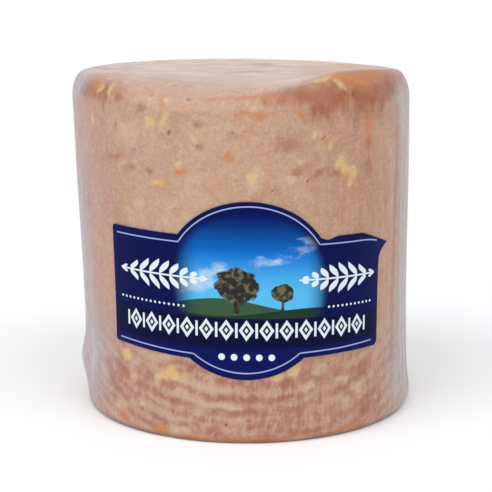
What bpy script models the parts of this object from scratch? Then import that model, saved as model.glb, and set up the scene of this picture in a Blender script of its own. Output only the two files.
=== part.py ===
# A smoked ham, pressed round in a mould and sealed in tight clear film, with a printed label round its front.
# Metres, +Z up. The origin is at the middle of the base, and the front, where the label is, faces -Y.
# An angle round the ham is 0 at the front and grows towards +X. A place on the label is a length along
# it, growing towards +X, and a length up it, from a point near its middle.

import math

import bmesh
import bpy

# The pressed block
BLOCK_RADIUS = 0.0806
BLOCK_HEIGHT = 0.160
RIM_IN = 0.0052
RIM_DOWN = 0.0120
FOOT_IN = 0.0018
FOOT_UP = 0.0026
LEAN = 0.0033
TOP_FALL = 0.0010

# Where the wall stands off a plain cylinder
WAIST_DEPTH = 0.0017
WAIST_HEIGHT = 0.042
WAIST_REACH = 0.062
HEEL_SWELL = 0.0022
HEEL_HEIGHT = 0.022
HEEL_REACH = 0.008
HEEL_TUCK = 0.0010
TOE_SWELL = 0.0009
TOE_HEIGHT = 0.006
TOE_REACH = 0.008
FOOT_TUCK = 0.0014
FOOT_TUCK_ANGLE = math.radians(50)
FOOT_TUCK_REACH = 0.0035
BACK_FLAT = 0.0012
SIDE_ROLL = 0.0004

# The rim, which is rounder at the front and at the right, and stands up as a lip on both sides of the front
SHOULDER_IN = 0.0130
SHOULDER_ANGLE = math.radians(-18)
SHOULDER_REACH = math.radians(42)
CORNER_IN = 0.0022
CORNER_ANGLE = math.radians(82)
CORNER_REACH = math.radians(30)
LEFT_LIP_RISE = 0.0028
LEFT_LIP_ANGLE = math.radians(-52)
LEFT_LIP_REACH = math.radians(24)
RIGHT_LIP_RISE = 0.0056
RIGHT_LIP_ANGLE = math.radians(42)
RIGHT_LIP_REACH_IN = math.radians(25)
RIGHT_LIP_REACH_OUT = math.radians(46)
LIP_FADE_IN = 5
LIP_FADE_DOWN = 12

# The top face, which sinks a little between its rims
TOP_SAG = 0.0008
TOP_ROLL = 0.0004

# The label
LABEL_GAP = 0.00036
LABEL_THICKNESS = 0.00035
LABEL_TURN = math.radians(-1.3)
LABEL_MIDDLE_HEIGHT = 0.0675
LABEL_MIDDLE_ALONG = -0.0004
LABEL_BEND_RADIUS = 0.0796
LABEL_LEFT = -0.0663
LABEL_RIGHT = 0.0692
LABEL_TOP = 0.0270
LABEL_BOTTOM = -0.0265
BOTTOM_BOW = 0.0025
BOTTOM_BOW_ALONG = -0.014
BOTTOM_BOW_REACH = 0.045
LEFT_CORNER = 0.0015
RIGHT_CORNER = 0.0026
CREST_ALONG = 0.0025
CREST_UP = 0.0031
CREST_RADIUS = 0.040
BELLY_ALONG = 0.0007
BELLY_UP = 0.0049
BELLY_RADIUS = 0.0422
NOTCH_ALONG = 0.0386
NOTCH_DEPTH = 0.0015
NOTCH_REACH = 0.0034
SHOULDER_ALONG = 0.057
SHOULDER_DROP = 0.0060
SHOULDER_CURVE = 1.15
TIP_PULL = 0.0069
TIP_ALONG = 0.050
TIP_UP = 0.006
TIP_CURVE = 4.5

# How finely each piece is divided
BLOCK_SIDES = 72
WALL_RINGS = 18
RIM_RINGS = 6
FOOT_RINGS = 3
TOP_RINGS = 6
LABEL_ROWS = 7
LABEL_PITCH = 0.0032
CORNER_STEPS = 3
BELLY_STEPS = 8


def bell(value, middle, reach):
    """A smooth bump: 1 at the middle, about a third of that one reach away."""
    return math.exp(-(((value - middle) / reach) ** 2))


def facing(angle, towards):
    """How much a direction faces another: 1 towards it, 0 away from it, falling fast in between."""
    return ((1 + math.cos(angle - towards)) / 2) ** 3


def wall_swell(angle, height):
    """How far the wall stands off the plain cylinder there."""
    left = facing(angle, -math.pi / 2)
    right = facing(angle, math.pi / 2)
    back = facing(angle, math.pi)
    tuck = facing(angle, FOOT_TUCK_ANGLE)
    middle = math.sin(math.pi * min(max(height / BLOCK_HEIGHT, 0), 1))
    return (
        -WAIST_DEPTH * bell(height, WAIST_HEIGHT, WAIST_REACH)
        + HEEL_SWELL * left * bell(height, HEEL_HEIGHT, HEEL_REACH)
        - HEEL_TUCK * left * bell(height, 0, HEEL_REACH)
        + TOE_SWELL * right * bell(height, TOE_HEIGHT, TOE_REACH)
        - FOOT_TUCK * tuck * bell(height, 0, FOOT_TUCK_REACH)
        - BACK_FLAT * back * middle
        + SIDE_ROLL * math.sin(2 * angle) * middle
    )


def top_sink(angle, share):
    """How far the top face lies below the rim's height, where share is 0 at its middle and 1 at the rim."""
    inward = 1 - share**2
    roll = math.sin(3 * angle + 1) * share**2 * inward
    return TOP_SAG * inward + 4 * TOP_ROLL * abs(roll)


def shoulder_in(angle, radius, height):
    """How far the rim and the top draw in where the rim is rounder: most where they meet, nothing below."""
    if height < BLOCK_HEIGHT / 2:
        return 0
    share = min((BLOCK_RADIUS - radius) / RIM_IN, radius / (BLOCK_RADIUS - RIM_IN))
    front = SHOULDER_IN * bell(angle, SHOULDER_ANGLE, SHOULDER_REACH)
    return share * (front + CORNER_IN * bell(angle, CORNER_ANGLE, CORNER_REACH))


def lip_rise(angle, radius, height):
    """How far the two lips lift the rim, fading round it, in over the top and down the wall."""
    right_reach = RIGHT_LIP_REACH_IN if angle < RIGHT_LIP_ANGLE else RIGHT_LIP_REACH_OUT
    rise = LEFT_LIP_RISE * bell(angle, LEFT_LIP_ANGLE, LEFT_LIP_REACH)
    rise += RIGHT_LIP_RISE * bell(angle, RIGHT_LIP_ANGLE, right_reach)
    inward = min(radius / (BLOCK_RADIUS - RIM_IN), 1) ** LIP_FADE_IN
    return rise * inward * (height / BLOCK_HEIGHT) ** LIP_FADE_DOWN


def block_point(angle, radius, height):
    """The nominal point of the turned block moved to its place on the real one, as x, y and z.

    The block leans towards -X, and its height falls from -X to +X.
    """
    reach = radius + wall_swell(angle, height) * radius / BLOCK_RADIUS - shoulder_in(angle, radius, height)
    middle = -LEAN * (height / BLOCK_HEIGHT - 0.5)
    fall = TOP_FALL / 2 * height / BLOCK_HEIGHT * reach * math.sin(angle) / BLOCK_RADIUS
    lift = lip_rise(angle, radius, height)
    return middle + reach * math.sin(angle), -reach * math.cos(angle), height - fall + lift


def turned_profile():
    """The block's side as radius and height, from the edge of the base up to the middle of the top."""
    points = []
    for i in range(FOOT_RINGS + 1):
        turn = math.pi / 2 * i / FOOT_RINGS
        radius = BLOCK_RADIUS - FOOT_IN * (1 - math.sin(turn))
        points.append((radius, FOOT_UP * (1 - math.cos(turn))))
    rim_foot = BLOCK_HEIGHT - RIM_DOWN
    for i in range(1, WALL_RINGS):
        points.append((BLOCK_RADIUS, FOOT_UP + (rim_foot - FOOT_UP) * i / WALL_RINGS))
    for i in range(RIM_RINGS + 1):
        turn = math.pi / 2 * i / RIM_RINGS
        radius = BLOCK_RADIUS - RIM_IN * (1 - math.cos(turn))
        points.append((radius, rim_foot + RIM_DOWN * math.sin(turn)))
    for i in range(1, TOP_RINGS + 1):
        points.append(((BLOCK_RADIUS - RIM_IN) * (1 - i / TOP_RINGS), BLOCK_HEIGHT))
    return points


def block_mesh():
    """Turns the profile, closes its base with one flat face, and moves each point to its real place."""
    bm = bmesh.new()
    corners = [bm.verts.new((radius, 0, height)) for radius, height in turned_profile()]
    edges = [bm.edges.new(pair) for pair in zip(corners, corners[1:])]
    bmesh.ops.spin(
        bm,
        geom=corners + edges,
        cent=(0, 0, 0),
        axis=(0, 0, 1),
        angle=2 * math.pi,
        steps=BLOCK_SIDES,
        use_merge=True,
    )
    bmesh.ops.remove_doubles(bm, verts=bm.verts, dist=1e-6)
    base_edges = [edge for edge in bm.edges if edge.is_boundary]
    bmesh.ops.contextual_create(bm, geom=base_edges)
    bmesh.ops.recalc_face_normals(bm, faces=bm.faces)
    top_radius = BLOCK_RADIUS - RIM_IN
    for vert in bm.verts:
        radius = math.hypot(vert.co.x, vert.co.y)
        angle = math.atan2(vert.co.x, -vert.co.y)
        on_top = vert.co.z > BLOCK_HEIGHT - 1e-6
        x, y, z = block_point(angle, radius, vert.co.z)
        sink = top_sink(angle, min(radius / top_radius, 1)) if on_top else 0
        vert.co = (x, y, z - sink)
    return bm


def corner_cut(from_end, corner):
    """How far a rounded corner has drawn an edge in, this far along it from its end."""
    short = max(corner - from_end, 0)
    return corner - math.sqrt(corner**2 - short**2)


def label_top(along):
    """The label's upper edge: level, with a round crest, a notch beside it and a falling shoulder."""
    past = max((along - SHOULDER_ALONG) / (LABEL_RIGHT - SHOULDER_ALONG), 0)
    level = LABEL_TOP - NOTCH_DEPTH * bell(along, NOTCH_ALONG, NOTCH_REACH)
    level -= SHOULDER_DROP * past**SHOULDER_CURVE
    across = CREST_RADIUS**2 - (along - CREST_ALONG) ** 2
    crest = CREST_UP + math.sqrt(across) if across > 0 else LABEL_BOTTOM
    return max(level, crest) - corner_cut(along - LABEL_LEFT, LEFT_CORNER)


def bowed_bottom(along):
    """The label's lower edge without its belly and corners, which bows down a little."""
    return LABEL_BOTTOM - BOTTOM_BOW * bell(along, BOTTOM_BOW_ALONG, BOTTOM_BOW_REACH)


def label_bottom(along):
    """The label's lower edge: bowed, with a round belly."""
    across = BELLY_RADIUS**2 - (along - BELLY_ALONG) ** 2
    belly = BELLY_UP - math.sqrt(across) if across > 0 else LABEL_TOP
    left = corner_cut(along - LABEL_LEFT, LEFT_CORNER)
    right = corner_cut(LABEL_RIGHT - along, RIGHT_CORNER)
    return min(bowed_bottom(along), belly) + left + right


def belly_kink(side):
    """Where the belly's circle meets the bowed edge, to its left (-1) or right (1), by stepping towards it."""
    along = BELLY_ALONG
    for _ in range(BELLY_STEPS):
        drop = BELLY_UP - bowed_bottom(along)
        along = BELLY_ALONG + side * math.sqrt(BELLY_RADIUS**2 - drop**2)
    return along


def tip_pull(along, up):
    """How far the film has drawn the label's upper right corner out, past its straight end."""
    outward = max((along - TIP_ALONG) / (LABEL_RIGHT - TIP_ALONG), 0)
    tip_up = LABEL_TOP - SHOULDER_DROP
    upward = min(max((up - TIP_UP) / (tip_up - TIP_UP), 0), 1)
    return TIP_PULL * outward**2 * upward**TIP_CURVE


def label_point(along, up):
    """A place on the label, laid on the block with the label's gap, as x, y and z."""
    arc = LABEL_MIDDLE_ALONG + along * math.cos(LABEL_TURN) - up * math.sin(LABEL_TURN)
    height = LABEL_MIDDLE_HEIGHT + along * math.sin(LABEL_TURN) + up * math.cos(LABEL_TURN)
    angle = arc / LABEL_BEND_RADIUS
    x, y, z = block_point(angle, BLOCK_RADIUS, height)
    return x + LABEL_GAP * math.sin(angle), y - LABEL_GAP * math.cos(angle), z


def spaced(start, end):
    """Places from start up to end, without end, no further apart than the label's pitch."""
    steps = max(math.ceil((end - start) / LABEL_PITCH), 1)
    return [start + (end - start) * i / steps for i in range(steps)]


def label_columns():
    """Where the label's columns stand along it: close in its round corners, and one at each kink."""
    crest_reach = math.sqrt(CREST_RADIUS**2 - (LABEL_TOP - CREST_UP) ** 2)
    turns = [math.pi / 2 * i / CORNER_STEPS for i in range(CORNER_STEPS)]
    columns = [LABEL_LEFT + LEFT_CORNER * (1 - math.cos(turn)) for turn in turns]
    kinks = [
        LABEL_LEFT + LEFT_CORNER,
        CREST_ALONG - crest_reach,
        belly_kink(-1),
        belly_kink(1),
        CREST_ALONG + crest_reach,
        LABEL_RIGHT - RIGHT_CORNER,
    ]
    for start, end in zip(kinks, kinks[1:]):
        columns += spaced(start, end)
    columns += [LABEL_RIGHT - RIGHT_CORNER * (1 - math.sin(turn)) for turn in turns]
    columns.append(LABEL_RIGHT)
    return columns


def label_mesh():
    """A grid whose columns run from the label's lower edge to its upper one, laid on the block."""
    columns = label_columns()
    across = len(columns) - 1
    bm = bmesh.new()
    bmesh.ops.create_grid(bm, x_segments=across, y_segments=LABEL_ROWS, size=1)
    for vert in bm.verts:
        along = columns[round((vert.co.x + 1) / 2 * across)]
        share = (vert.co.y + 1) / 2
        low = label_bottom(along)
        up = low + (label_top(along) - low) * share
        vert.co = label_point(along + tip_pull(along, up), up)
    bmesh.ops.recalc_face_normals(bm, faces=bm.faces)
    middle = min(bm.faces, key=lambda face: abs(face.calc_center_median().x))
    if middle.normal.y > 0:
        bmesh.ops.reverse_faces(bm, faces=bm.faces)
    return bm


def principled(name, colour, roughness, metallic=0.0):
    """A plain material with the piece's colour."""
    material = bpy.data.materials.new(name)
    material.use_nodes = True
    shader = material.node_tree.nodes["Principled BSDF"]
    shader.inputs["Base Color"].default_value = (*colour, 1)
    shader.inputs["Roughness"].default_value = roughness
    shader.inputs["Metallic"].default_value = metallic
    return material


def add_piece(name, bm, material, collection):
    """Makes the mesh an object of its own, shaded smooth, in the ham's collection."""
    mesh = bpy.data.meshes.new(name)
    bm.to_mesh(mesh)
    bm.free()
    mesh.shade_smooth()
    mesh.set_sharp_from_angle(angle=math.radians(50))
    mesh.materials.append(material)
    piece = bpy.data.objects.new(name, mesh)
    collection.objects.link(piece)
    return piece


def add_ham(collection):
    """The ham in its film, which follows the meat all over, as one solid."""
    material = principled("meat_under_film", colour=(0.53, 0.33, 0.23), roughness=0.3)
    return add_piece("ham_pack", block_mesh(), material, collection)


def add_label(collection):
    """The label, a sheet given its thickness outwards."""
    material = principled("label_print", colour=(0.012, 0.016, 0.11), roughness=0.35)
    label = add_piece("label", label_mesh(), material, collection)
    sheet = label.modifiers.new("sheet_thickness", "SOLIDIFY")
    sheet.thickness = LABEL_THICKNESS
    sheet.offset = 1
    return label


def main():
    """Empties the scene and builds the ham and its label."""
    for old in list(bpy.data.objects):
        bpy.data.objects.remove(old, do_unlink=True)
    collection = bpy.data.collections.new("smoked_ham")
    bpy.context.scene.collection.children.link(collection)
    add_ham(collection)
    add_label(collection)


main()
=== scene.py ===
"""The looks of a smoked ham: a round pressed block in tight clear film, with a printed label round its front.

Lengths are metres unless a name says millimetres, +Z is up and the front faces -Y. An angle round the ham
is 0 at the front and grows towards +X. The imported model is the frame. The meat and the film stand for its
node ham_pack, and the label sheet for its node label, all on the formulas of the part's own source.
"""

import logging
import math
from dataclasses import dataclass
from enum import Enum

import bpy
import numpy as np
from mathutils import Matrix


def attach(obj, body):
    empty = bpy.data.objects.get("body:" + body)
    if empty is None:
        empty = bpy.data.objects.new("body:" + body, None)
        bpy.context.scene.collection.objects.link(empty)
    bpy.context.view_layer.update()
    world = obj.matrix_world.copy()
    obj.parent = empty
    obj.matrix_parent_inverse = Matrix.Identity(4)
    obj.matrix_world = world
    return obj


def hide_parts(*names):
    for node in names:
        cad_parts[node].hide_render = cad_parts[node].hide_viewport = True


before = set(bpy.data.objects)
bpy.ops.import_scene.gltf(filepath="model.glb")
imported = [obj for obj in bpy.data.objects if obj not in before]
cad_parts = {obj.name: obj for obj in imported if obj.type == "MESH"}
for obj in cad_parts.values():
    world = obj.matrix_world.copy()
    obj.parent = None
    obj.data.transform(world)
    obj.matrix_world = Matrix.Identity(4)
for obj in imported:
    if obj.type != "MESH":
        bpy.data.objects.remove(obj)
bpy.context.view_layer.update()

log = logging.getLogger("smoked_ham")

Array = np.ndarray
Socket = bpy.types.NodeSocket
Colour = tuple[float, float, float]
Triple = tuple[float, float, float]
Span = tuple[float, float]

MM = 0.001
LIGHT_GAIN = 1.42
BLOT_PITCH = 0.6


def bell(value: Array, middle: float, reach: float | Array) -> Array:
    """A smooth bump: e to the minus square of the distance from the middle in reaches."""
    return np.exp(-(((value - middle) / reach) ** 2))


def facing(angle: Array, towards: float) -> Array:
    """How much a direction faces another: half of one plus the cosine between them, cubed."""
    return ((1 + np.cos(angle - towards)) / 2) ** 3


def ripple(points: Array, wavelength: float, seed: int, waves: int = 18) -> Array:
    """A smooth uneven field through space, mostly within -1 to 1: a sum of plane waves in seeded directions.

    Args:
        points: places in space, with x, y and z along the last axis.
        wavelength: the middling length of the waves, in metres.
        seed: the seed of the waves' directions, lengths and starts.
        waves: how many waves are summed.

    Returns:
        The sum of the sines at each place, scaled so that its spread doesn't depend on how many there are.
    """
    rng = np.random.default_rng(seed)
    directions = rng.normal(size=(waves, 3))
    directions /= np.linalg.norm(directions, axis=1, keepdims=True)
    lengths = wavelength * rng.uniform(0.7, 1.4, waves)
    starts = rng.uniform(0, 2 * math.pi, waves)
    turns = points @ (2 * math.pi * directions / lengths[:, None]).T + starts
    return np.sin(turns).sum(axis=-1) * math.sqrt(0.5 / waves)


def srgb(red: float, green: float, blue: float) -> Colour:
    """A colour given as 0 to 255, as a picture holds it, in the linear values that a shader takes."""
    shares = np.array([red, green, blue]) / 255
    linear = np.where(shares <= 0.04045, shares / 12.92, ((shares + 0.055) / 1.055) ** 2.4)
    return tuple(float(share) for share in linear)


def lit(red: float, green: float, blue: float) -> Colour:
    """The surface colour that shows as the given one: the linear colour over the gain of the light."""
    return tuple(share / LIGHT_GAIN for share in srgb(red, green, blue))


@dataclass(frozen=True)
class Block:
    """The pressed block that the film follows: a cylinder with a round rim, a waist, a heel and a lean."""

    radius: float = 0.0806
    height: float = 0.160
    rim_in: float = 0.0052
    rim_down: float = 0.0120
    foot_in: float = 0.0018
    foot_up: float = 0.0026
    lean: float = 0.0033
    top_fall: float = 0.0010
    waist_depth: float = 0.0017
    waist_height: float = 0.042
    waist_reach: float = 0.062
    heel_swell: float = 0.0022
    heel_height: float = 0.022
    heel_reach: float = 0.008
    heel_tuck: float = 0.0010
    toe_swell: float = 0.0009
    toe_height: float = 0.006
    toe_reach: float = 0.008
    foot_tuck: float = 0.0014
    foot_tuck_angle: float = math.radians(50)
    foot_tuck_reach: float = 0.0035
    back_flat: float = 0.0012
    side_roll: float = 0.0004
    shoulder_in: float = 0.0130
    shoulder_angle: float = math.radians(-18)
    shoulder_reach: float = math.radians(42)
    corner_in: float = 0.0022
    corner_angle: float = math.radians(82)
    corner_reach: float = math.radians(30)
    left_lip_rise: float = 0.0028
    left_lip_angle: float = math.radians(-52)
    left_lip_reach: float = math.radians(24)
    right_lip_rise: float = 0.0056
    right_lip_angle: float = math.radians(42)
    right_lip_reach_in: float = math.radians(25)
    right_lip_reach_out: float = math.radians(46)
    lip_fade_in: float = 5
    lip_fade_down: float = 12
    top_sag: float = 0.0008
    top_roll: float = 0.0004

    def swell(self, angle: Array, height: Array) -> Array:
        """How far the wall stands off the cylinder: bells up the wall, each weighed by the way it faces."""
        left = facing(angle, -math.pi / 2)
        right = facing(angle, math.pi / 2)
        back = facing(angle, math.pi)
        tuck = facing(angle, self.foot_tuck_angle)
        middle = np.sin(math.pi * np.clip(height / self.height, 0, 1))
        return (
            -self.waist_depth * bell(height, self.waist_height, self.waist_reach)
            + self.heel_swell * left * bell(height, self.heel_height, self.heel_reach)
            - self.heel_tuck * left * bell(height, 0, self.heel_reach)
            + self.toe_swell * right * bell(height, self.toe_height, self.toe_reach)
            - self.foot_tuck * tuck * bell(height, 0, self.foot_tuck_reach)
            - self.back_flat * back * middle
            + self.side_roll * np.sin(2 * angle) * middle
        )

    def sink(self, angle: Array, share: Array) -> Array:
        """How far the top lies below its rim: a shallow dish plus three folded waves round it.

        Args:
            angle: the direction from the middle.
            share: the distance from the middle, where 1 is the rim.

        Returns:
            The depth in metres.
        """
        inward = 1 - share**2
        roll = np.sin(3 * angle + 1) * share**2 * inward
        return self.top_sag * inward + 4 * self.top_roll * np.abs(roll)

    def side(self, up: Array) -> tuple[Array, Array]:
        """The block's side unrolled from the base's middle, up the wall and over the rim to the top's middle.

        A length below 0 lies on the base, one up to the block's height is that height on the wall or rim,
        and one past it lies on the top. The foot and the rim are quarters of an ellipse.

        Args:
            up: the length up the side.

        Returns:
            The radius and the height there.
        """
        into_foot = np.clip(1 - up / self.foot_up, 0, 1)
        into_rim = np.clip((up - self.height + self.rim_down) / self.rim_down, 0, 1)
        radius = self.radius - self.foot_in * (1 - np.sqrt(1 - into_foot**2))
        radius = radius - self.rim_in * (1 - np.sqrt(1 - into_rim**2))
        radius = radius - np.maximum(up - self.height, 0) + np.minimum(up, 0)
        return radius, np.clip(up, 0, self.height)

    def draw_in(self, angle: Array, radius: Array, height: Array) -> Array:
        """How far the rim and the top draw in where the rim is rounder: bells round the block times a share.

        The share grows from 0 at the rim's foot to 1 at the top's edge, and falls to 0 at its middle.

        Args:
            angle: the direction from the middle, from -pi to pi.
            radius: the radius on the plain turned block.
            height: the height on the plain turned block.

        Returns:
            The distance in metres.
        """
        over_rim = (self.radius - radius) / self.rim_in
        over_top = radius / (self.radius - self.rim_in)
        share = np.where(height > self.height / 2, np.minimum(over_rim, over_top), 0)
        front = self.shoulder_in * bell(angle, self.shoulder_angle, self.shoulder_reach)
        return share * (front + self.corner_in * bell(angle, self.corner_angle, self.corner_reach))

    def lip(self, angle: Array, radius: Array, height: Array) -> Array:
        """How far the two lips lift the rim: bells round it times powers of the share in and of the share up.

        Args:
            angle: the direction from the middle, from -pi to pi.
            radius: the radius on the plain turned block.
            height: the height on the plain turned block.

        Returns:
            The rise in metres.
        """
        inner = angle < self.right_lip_angle
        right_reach = np.where(inner, self.right_lip_reach_in, self.right_lip_reach_out)
        rise = self.left_lip_rise * bell(angle, self.left_lip_angle, self.left_lip_reach)
        rise = rise + self.right_lip_rise * bell(angle, self.right_lip_angle, right_reach)
        inward = np.minimum(radius / (self.radius - self.rim_in), 1) ** self.lip_fade_in
        return rise * inward * (np.maximum(height, 0) / self.height) ** self.lip_fade_down

    def point(self, angle: Array, radius: Array, height: Array) -> Array:
        """A place on the turned block moved to where the real one has it: swollen, leaning and falling to +X.

        Args:
            angle: the direction from the middle.
            radius: the radius on the plain turned block.
            height: the height on the plain turned block.

        Returns:
            Points with x, y and z along the last axis.
        """
        turn = np.remainder(angle + math.pi, 2 * math.pi) - math.pi
        reach = radius + self.swell(turn, height) * radius / self.radius - self.draw_in(turn, radius, height)
        middle = -self.lean * (height / self.height - 0.5)
        fall = self.top_fall / 2 * height / self.height * reach * np.sin(turn) / self.radius
        x = middle + reach * np.sin(turn)
        y = -reach * np.cos(turn)
        z = height - fall + self.lip(turn, radius, height)
        return np.stack(np.broadcast_arrays(x, y, z), axis=-1)

    def place(self, angle: Array, up: Array) -> Array:
        """A place on the block's skin by its direction and its length up the side, as points."""
        radius, height = self.side(up)
        share = np.clip(radius / (self.radius - self.rim_in), 0, 1)
        sink = np.where(up >= self.height, self.sink(angle, share), 0)
        points = self.point(angle, radius, height)
        points[..., 2] -= sink
        return points


@dataclass(frozen=True)
class Mark:
    """An oval mark on the block, in millimetres, with its turn from level in degrees.

    It lies that far along the wall from the front, and that far up it or on over the rim.
    """

    along: float
    up: float
    long: float
    wide: float
    turn: float = 0


class Tone(Enum):
    """What a mark is, by the name of the mesh attribute that holds it."""

    FAT = "fat"
    CREAM = "cream"
    RUST = "rust"
    ORANGE = "orange"
    STAIN = "stain"
    RED = "red"
    PORE = "pore"
    HAZE_AND_HIGHLIGHT = "haze_and_highlight"


class Part(Enum):
    """A part of a skin, by the name of the mesh attribute that is 1 on it and 0 off it."""

    TOP = "top"
    RIM = "rim"


def nearness(block: Block, points: Array, marks: tuple[Mark, ...]) -> Array:
    """How near each point is to any of the marks: 1 in a mark's middle, a half on its edge, 0 two sizes away.

    A mark's distance is the length of the offset from its middle, with its part along the mark's long axis,
    across it and off the skin each divided by the mark's half size there.

    Args:
        block: the block that the marks lie on.
        points: places near the block's skin.
        marks: the marks.

    Returns:
        The greatest nearness at each point.
    """
    step = 0.5 * MM
    depth = 5 * MM
    nearest = np.zeros(points.shape[:-1])
    for mark in marks:
        angle = np.array(mark.along * MM / block.radius)
        up = np.array(mark.up * MM)
        centre = block.place(angle, up)
        along = block.place(angle + step / block.radius, up) - centre
        rise = block.place(angle, up + step) - centre
        along /= np.linalg.norm(along)
        rise /= np.linalg.norm(rise)
        off = np.cross(along, rise)
        turn = math.radians(mark.turn)
        lengthwise = (along * math.cos(turn) + rise * math.sin(turn)) / (mark.long / 2 * MM)
        crosswise = (rise * math.cos(turn) - along * math.sin(turn)) / (mark.wide / 2 * MM)
        axes = np.stack([lengthwise, crosswise, off / depth], axis=1)
        distance = np.linalg.norm((points - centre) @ axes, axis=-1)
        nearest = np.maximum(nearest, np.clip(1 - distance / 2, 0, 1))
    return nearest


def scattered(seed: int, count: int, long: Span, slim: float) -> tuple[Mark, ...]:
    """Seeded marks over the sides, back and top that the placed ones leave free.

    Args:
        seed: the seed of every draw.
        count: how many marks.
        long: the least and the greatest length, in millimetres.
        slim: the width as a share of the length.

    Returns:
        The marks, from past the front's edge on one side round the back to the other.
    """
    rng = np.random.default_rng(seed)
    half_turn = 253
    front = 98
    low, high = 4, 225
    steepest = 80
    along = rng.uniform(front, 2 * half_turn - front, count)
    up = rng.uniform(low, high, count)
    size = rng.uniform(*long, count)
    turn = rng.uniform(-steepest, steepest, count)
    draws = np.stack([along, up, size, size * slim, turn], axis=1)
    return tuple(Mark(*map(float, draw)) for draw in draws)


@dataclass
class Skin:
    """A closed surface round the block: a grid of columns and rows, shut by a point at each end."""

    block: Block
    angles: Array
    ups: Array
    points: Array

    @classmethod
    def over(cls, block: Block, columns: int, wall_rows: int) -> "Skin":
        """Lays a grid on the block's skin.

        The columns stand closer together at the front: an angle is its even share of a turn less a sine of
        that share. The foot's and the rim's rows lie at even turns of their ellipses.

        Args:
            block: the block.
            columns: how many columns go round it.
            wall_rows: how many rows the straight wall has.

        Returns:
            The skin, right on the block.
        """
        front_crowding = 0.48
        base_rows = 8
        rim_rows = 22
        top_rows = 35
        base_reach = 0.97
        top_reach = 0.98
        turns = np.arange(columns) / columns * 2 * math.pi
        angles = turns - front_crowding * np.sin(turns)
        quarter = np.linspace(0, math.pi / 2, rim_rows)
        rim_foot = block.height - block.rim_down
        ups = np.concatenate(
            [
                -(block.radius - block.foot_in) * np.linspace(base_reach, 0, base_rows, endpoint=False),
                block.foot_up * (1 - np.cos(quarter[::3])),
                np.linspace(block.foot_up, rim_foot, wall_rows, endpoint=False)[1:],
                rim_foot + block.rim_down * np.sin(quarter),
                block.height + (block.radius - block.rim_in) * np.linspace(0, top_reach, top_rows)[1:],
            ]
        )
        return cls(block, angles, ups, block.place(angles[None, :], ups[:, None]))

    def normals(self) -> Array:
        """The way out of the skin at each point: the cross product of its steps along and up the grid."""
        along = np.roll(self.points, -1, axis=1) - np.roll(self.points, 1, axis=1)
        rise = np.gradient(self.points, axis=0)
        out = np.cross(along, rise)
        return out / np.linalg.norm(out, axis=-1, keepdims=True)

    def moved(self, out: Array | float) -> "Skin":
        """The same skin with each point that far out of it."""
        shifted = self.points + self.normals() * np.asarray(out)[..., None]
        return Skin(self.block, self.angles, self.ups, shifted)

    def piece(self, name: str, attributes: dict[str, Array]) -> bpy.types.Object:
        """Makes the skin a mesh: squares between the grid's points and a fan to each end's middle point.

        Its UV map runs once round the block and once up its side.

        Args:
            name: the object's name.
            attributes: numbers for each of the grid's points, by name.

        Returns:
            The object, linked to the scene.
        """
        rows, columns = self.points.shape[:2]
        ends = [self.points[0].mean(axis=0), self.points[-1].mean(axis=0)]
        vertices = np.concatenate([self.points.reshape(-1, 3), ends])
        row, column = np.meshgrid(np.arange(rows - 1), np.arange(columns), indexing="ij")
        corner_rows = np.stack([row, row, row + 1, row + 1], axis=-1).reshape(-1, 4)
        corner_columns = np.stack([column, column + 1, column + 1, column], axis=-1).reshape(-1, 4)
        squares = corner_rows * columns + corner_columns % columns
        first = np.arange(columns)
        second = (first + 1) % columns
        base_pole = rows * columns
        base_fan = np.stack([second, first, np.full(columns, base_pole)], axis=1)
        last_row = (rows - 1) * columns
        top_fan = np.stack([last_row + first, last_row + second, np.full(columns, base_pole + 1)], axis=1)
        mesh = bpy.data.meshes.new(name)
        faces = squares.tolist() + base_fan.tolist() + top_fan.tolist()
        mesh.from_pydata(vertices.tolist(), [], faces)
        self._map_uv(mesh, corner_rows, corner_columns, base_fan, top_fan)
        for attribute, values in attributes.items():
            layer = mesh.attributes.new(attribute, "FLOAT", "POINT")
            ends = [values[0].mean(), values[-1].mean()]
            layer.data.foreach_set("value", np.append(values.ravel(), ends).astype(np.float32))
        mesh.shade_smooth()
        mesh.validate()
        piece = bpy.data.objects.new(name, mesh)
        bpy.context.scene.collection.objects.link(piece)
        return piece

    def _map_uv(self, mesh: bpy.types.Mesh, rows: Array, columns: Array, base: Array, top: Array) -> None:
        """Gives each face corner its share of a turn and of the side, with the map's seam at one column.

        Args:
            mesh: the mesh, whose squares come first, then the base's fan and the top's.
            rows: the grid row of each square's corners.
            columns: the grid column of each square's corners, one past the last where it closes the turn.
            base: the base's fan, by vertex.
            top: the top's fan, by vertex.
        """
        turn = np.append(self.angles, 2 * math.pi) / (2 * math.pi)
        length = (self.ups - self.ups[0]) / (self.ups[-1] - self.ups[0])
        squares = np.stack([turn[columns], length[rows]], axis=-1).reshape(-1, 2)
        fans = []
        for fan, end in ((base, 0.0), (top, 1.0)):
            count = len(fan)
            near = turn[np.arange(count)]
            fans.append(np.stack([np.repeat(near, 3), np.full(3 * count, end)], axis=-1))
        layer = mesh.uv_layers.new(name="unrolled")
        corners = np.concatenate([squares, *fans]).astype(np.float32)
        layer.data.foreach_set("uv", corners.ravel())


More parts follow.
